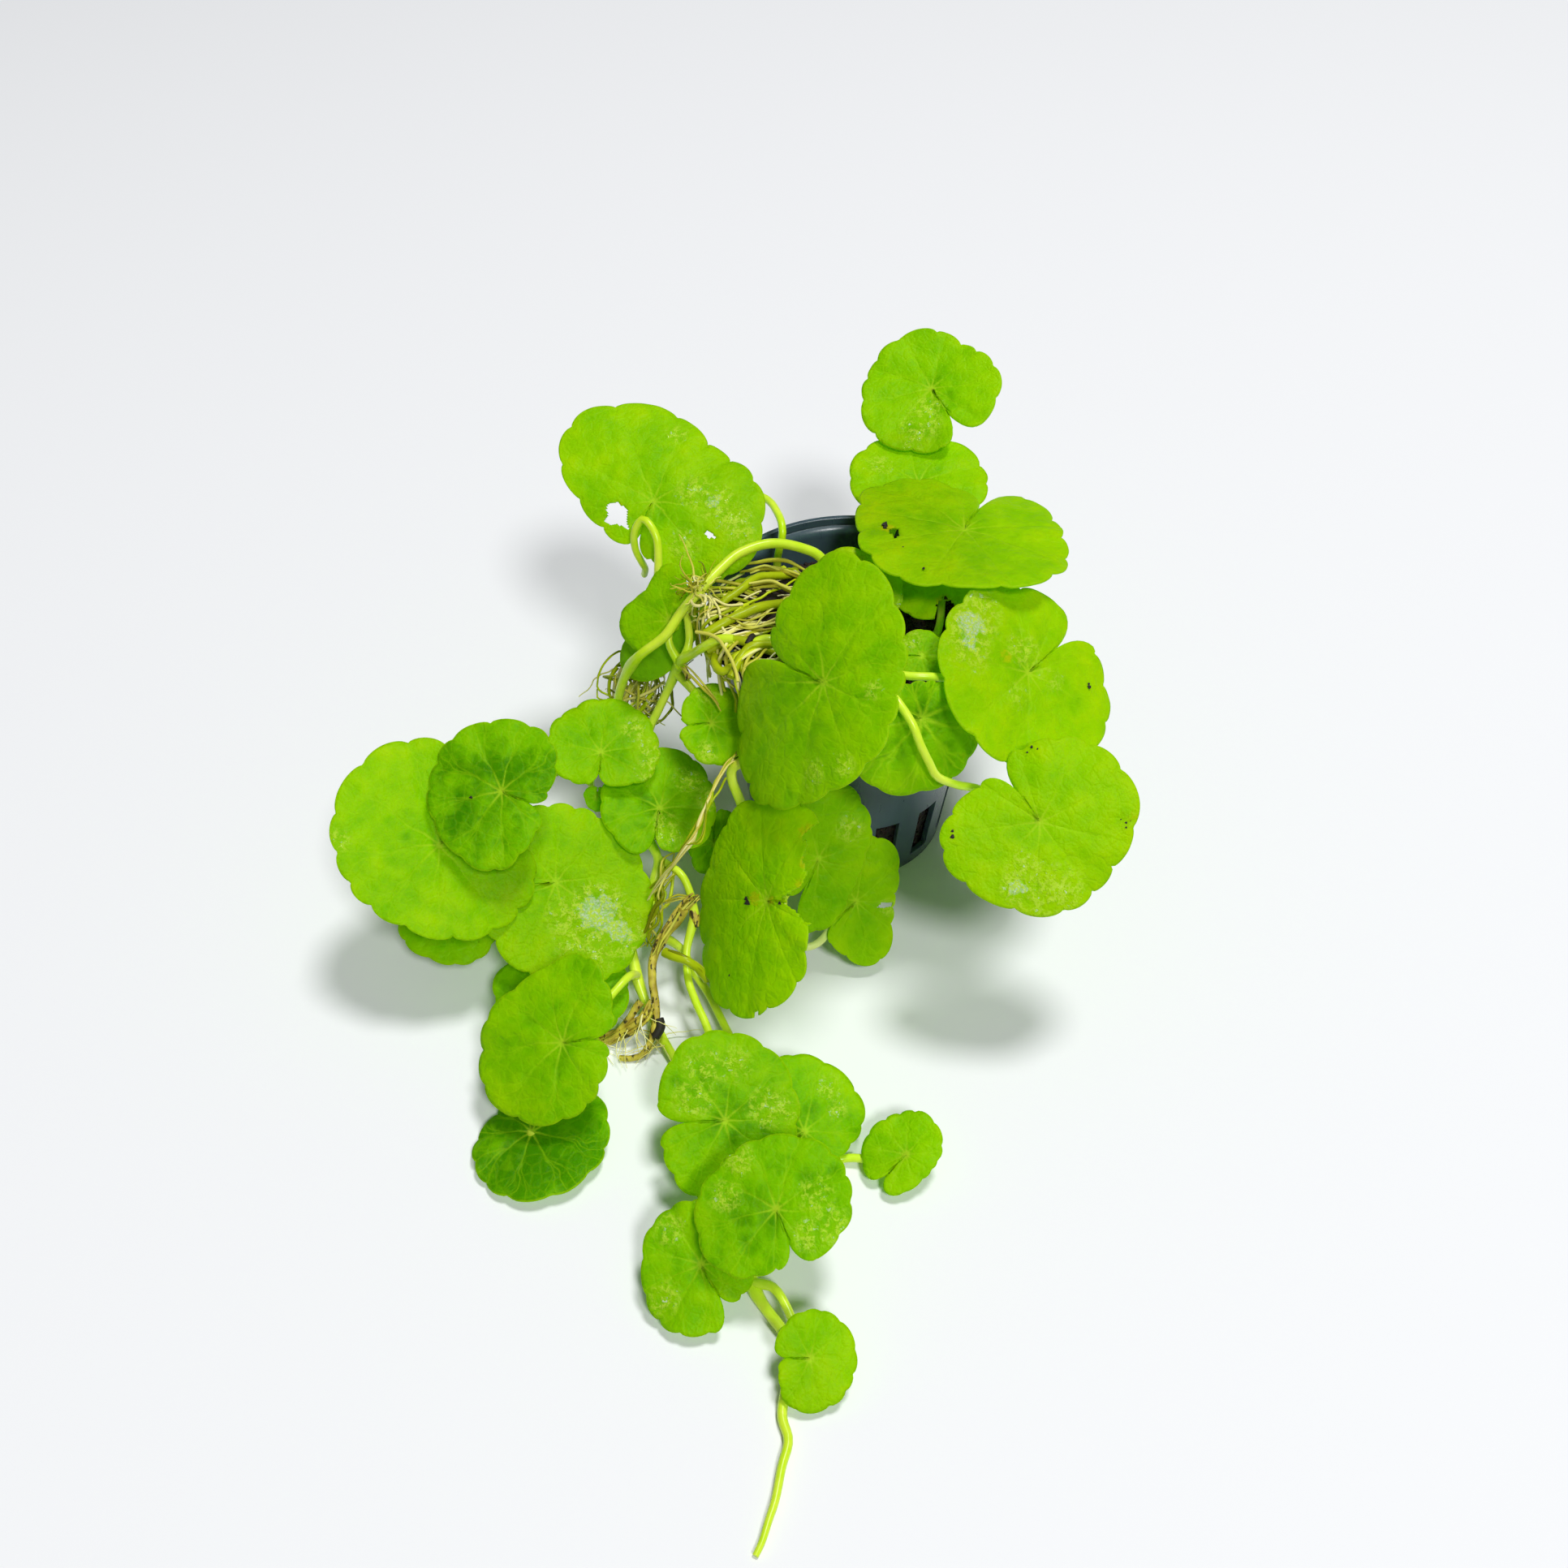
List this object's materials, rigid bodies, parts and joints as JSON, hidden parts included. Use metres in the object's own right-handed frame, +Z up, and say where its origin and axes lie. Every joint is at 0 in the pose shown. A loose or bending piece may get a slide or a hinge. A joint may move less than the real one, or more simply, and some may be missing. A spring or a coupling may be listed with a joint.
{
  "type": "brazilian pennywort",
  "caption": "Potted brazilian pennywort: a black net pot with a mat of roots, and runners with round scalloped leaves that spill over the rim and trail along the surface.",
  "frame": {"origin": "middle of the underside of the pot, on the surface that the pot stands on", "axes": "+Z up along the pot's axis; +Y away from the viewer of the picture, so the runners trail towards -Y and -X; +X to the picture's right"},
  "size_m": [0.1462, 0.2223, 0.0813],
  "materials": {
    "pot_plastic": "glossy black moulded plastic with a blue-grey sheen",
    "medium": "damp dark brown fibre and grains, fully matte",
    "leaf": "bright yellow-green leaf with a wet gloss and paler veins",
    "stem": "pale yellow-green smooth stem with a soft gloss",
    "root": "pale straw to olive root, soft sheen",
    "brown_root": "old brown root, matte, speckled"
  },
  "bodies": {
    "root": {"growing_medium": "medium", "leaf_back_left_large": "leaf", "leaf_back_right_middle": "leaf", "leaf_back_right_top": "leaf", "leaf_centre_behind": "leaf", "leaf_centre_large": "leaf", "leaf_centre_small": "leaf", "leaf_far_left_large": "leaf", "leaf_far_left_shaded": "leaf", "leaf_far_left_top": "leaf", "leaf_front_behind": "leaf", "leaf_front_right": "leaf", "leaf_front_shaded": "leaf", "leaf_front_torn": "leaf", "leaf_left_folded": "leaf", "leaf_left_underside": "leaf", "leaf_left_wet": "leaf", "leaf_lower_left": "leaf", "leaf_lower_left_shaded": "leaf", "leaf_middle_left": "leaf", "leaf_pot_front": "leaf", "leaf_right_front": "leaf", "leaf_right_large": "leaf", "leaf_right_small": "leaf", "leaf_right_torn": "leaf", "leaf_right_wide": "leaf", "leaf_surface_left": "leaf", "leaf_trail_end": "leaf", "leaf_trail_left": "leaf", "leaf_trail_middle": "leaf", "leaf_trail_right": "leaf", "leaf_trail_small": "leaf", "leaf_trail_upper": "leaf", "leaf_upper_left": "leaf", "leaf_young": "leaf", "net_pot": "pot_plastic", "root_brown": "brown_root", "root_brown_branch": "brown_root", "root_heap": "root", "root_olive": "root", "root_over_leaf": "root", "root_tangle": "root", "runner_arch": "stem", "runner_branch": "stem", "runner_front": "stem", "runner_loop": "stem", "runner_side": "stem", "runner_tip": "stem", "runner_trailing": "stem"}
  },
  "joints": []
}
